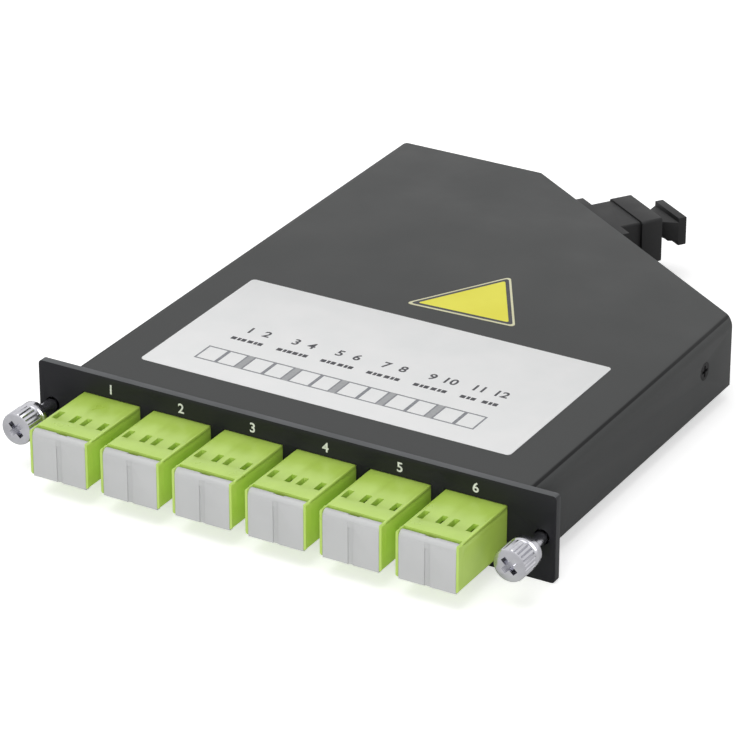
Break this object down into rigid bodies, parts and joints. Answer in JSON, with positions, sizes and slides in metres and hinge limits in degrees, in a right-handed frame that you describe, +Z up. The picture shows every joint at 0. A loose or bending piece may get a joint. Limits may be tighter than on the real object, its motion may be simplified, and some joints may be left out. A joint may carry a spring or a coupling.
{
  "type": "fibre cassette",
  "caption": "Flat steel fibre cassette with a narrow front plate of shuttered duplex adapters and a capped multi-fibre adapter on its slanted rear corner.",
  "frame": {"origin": "middle of the front plate's rear face, at the plate's bottom edge", "axes": "+X along the front plate to the right seen from the front, +Y back into the housing, +Z up"},
  "size_m": [0.1128, 0.152, 0.0178],
  "materials": {
    "front_plate_coat": "matte",
    "housing_coat": "matte",
    "bare_steel": "satin",
    "spring_steel": "satin",
    "nickel_plate": "gloss",
    "blackened_steel": "satin",
    "zirconia": "satin",
    "lime_moulding": "satin",
    "grey_moulding": "satin",
    "plug_moulding": "satin",
    "black_moulding": "satin",
    "cap_moulding": "satin",
    "fibre_tube_jacket": "satin"
  },
  "bodies": {
    "housing": {"adapter_comb": "bare_steel", "alignment_sleeves": "zirconia", "base_tray": "housing_coat", "cover_screws": "blackened_steel", "fanout_boot": "cap_moulding", "fibre_tube_1": "fibre_tube_jacket", "fibre_tube_10": "fibre_tube_jacket", "fibre_tube_11": "fibre_tube_jacket", "fibre_tube_12": "fibre_tube_jacket", "fibre_tube_2": "fibre_tube_jacket", "fibre_tube_3": "fibre_tube_jacket", "fibre_tube_4": "fibre_tube_jacket", "fibre_tube_5": "fibre_tube_jacket", "fibre_tube_6": "fibre_tube_jacket", "fibre_tube_7": "fibre_tube_jacket", "fibre_tube_8": "fibre_tube_jacket", "fibre_tube_9": "fibre_tube_jacket", "front_plate": "front_plate_coat", "lc_adapter_1": "lime_moulding", "lc_adapter_2": "lime_moulding", "lc_adapter_3": "lime_moulding", "lc_adapter_4": "lime_moulding", "lc_adapter_5": "lime_moulding", "lc_adapter_6": "lime_moulding", "lc_plug_1": "plug_moulding", "lc_plug_10": "plug_moulding", "lc_plug_11": "plug_moulding", "lc_plug_12": "plug_moulding", "lc_plug_2": "plug_moulding", "lc_plug_3": "plug_moulding", "lc_plug_4": "plug_moulding", "lc_plug_5": "plug_moulding", "lc_plug_6": "plug_moulding", "lc_plug_7": "plug_moulding", "lc_plug_8": "plug_moulding", "lc_plug_9": "plug_moulding", "mpo_adapter": "black_moulding", "mpo_plug": "plug_moulding", "mpo_screws": "blackened_steel", "plate_rivets": "front_plate_coat", "shutter_pins": "spring_steel", "shutter_springs": "spring_steel", "sleeve_holders": "lime_moulding", "top_cover": "housing_coat"},
    "shutter_1_body": {"shutter_1": "grey_moulding"},
    "shutter_2_body": {"shutter_2": "grey_moulding"},
    "shutter_3_body": {"shutter_3": "grey_moulding"},
    "shutter_4_body": {"shutter_4": "grey_moulding"},
    "shutter_5_body": {"shutter_5": "grey_moulding"},
    "shutter_6_body": {"shutter_6": "grey_moulding"},
    "left_ring": {"screw_ring_left": "spring_steel"},
    "left_screw": {"captive_screw_left": "nickel_plate"},
    "right_ring": {"screw_ring_right": "spring_steel"},
    "right_screw": {"captive_screw_right": "nickel_plate"},
    "cap": {"dust_cap": "cap_moulding"}
  },
  "joints": [
    {"name": "shutter_1_hinge", "type": "hinge", "parent": "housing", "child": "shutter_1_body", "pos_m": [-0.0395, -0.0185, 0.01222], "axis": [-1, 0, 0], "range_deg": [0, 95], "stiffness_Nm_per_rad": 0.0005, "springref_deg": -9.74},
    {"name": "shutter_2_hinge", "type": "hinge", "parent": "housing", "child": "shutter_2_body", "pos_m": [-0.0237, -0.0185, 0.01222], "axis": [-1, 0, 0], "range_deg": [0, 95], "stiffness_Nm_per_rad": 0.0005, "springref_deg": -9.74},
    {"name": "shutter_3_hinge", "type": "hinge", "parent": "housing", "child": "shutter_3_body", "pos_m": [-0.0079, -0.0185, 0.01222], "axis": [-1, 0, 0], "range_deg": [0, 95], "stiffness_Nm_per_rad": 0.0005, "springref_deg": -9.74},
    {"name": "shutter_4_hinge", "type": "hinge", "parent": "housing", "child": "shutter_4_body", "pos_m": [0.0079, -0.0185, 0.01222], "axis": [-1, 0, 0], "range_deg": [0, 95], "stiffness_Nm_per_rad": 0.0005, "springref_deg": -9.74},
    {"name": "shutter_5_hinge", "type": "hinge", "parent": "housing", "child": "shutter_5_body", "pos_m": [0.0237, -0.0185, 0.01222], "axis": [-1, 0, 0], "range_deg": [0, 95], "stiffness_Nm_per_rad": 0.0005, "springref_deg": -9.74},
    {"name": "shutter_6_hinge", "type": "hinge", "parent": "housing", "child": "shutter_6_body", "pos_m": [0.0395, -0.0185, 0.01222], "axis": [-1, 0, 0], "range_deg": [0, 95], "stiffness_Nm_per_rad": 0.0005, "springref_deg": -9.74},
    {"name": "left_screw_push", "type": "slide", "parent": "housing", "child": "left_ring", "axis": [0, 1, 0], "range_m": [0, 0.0055]},
    {"name": "left_screw_turn", "type": "hinge", "parent": "left_ring", "child": "left_screw", "pos_m": [-0.0531, 0, 0.0089], "axis": [0, 1, 0], "continuous": true},
    {"name": "right_screw_push", "type": "slide", "parent": "housing", "child": "right_ring", "axis": [0, 1, 0], "range_m": [0, 0.0055]},
    {"name": "right_screw_turn", "type": "hinge", "parent": "right_ring", "child": "right_screw", "pos_m": [0.0531, 0, 0.0089], "axis": [0, 1, 0], "continuous": true},
    {"name": "dust_cap_pull", "type": "slide", "parent": "housing", "child": "cap", "axis": [0.5592, 0.829, 0], "range_m": [0, 0.015]}
  ]
}
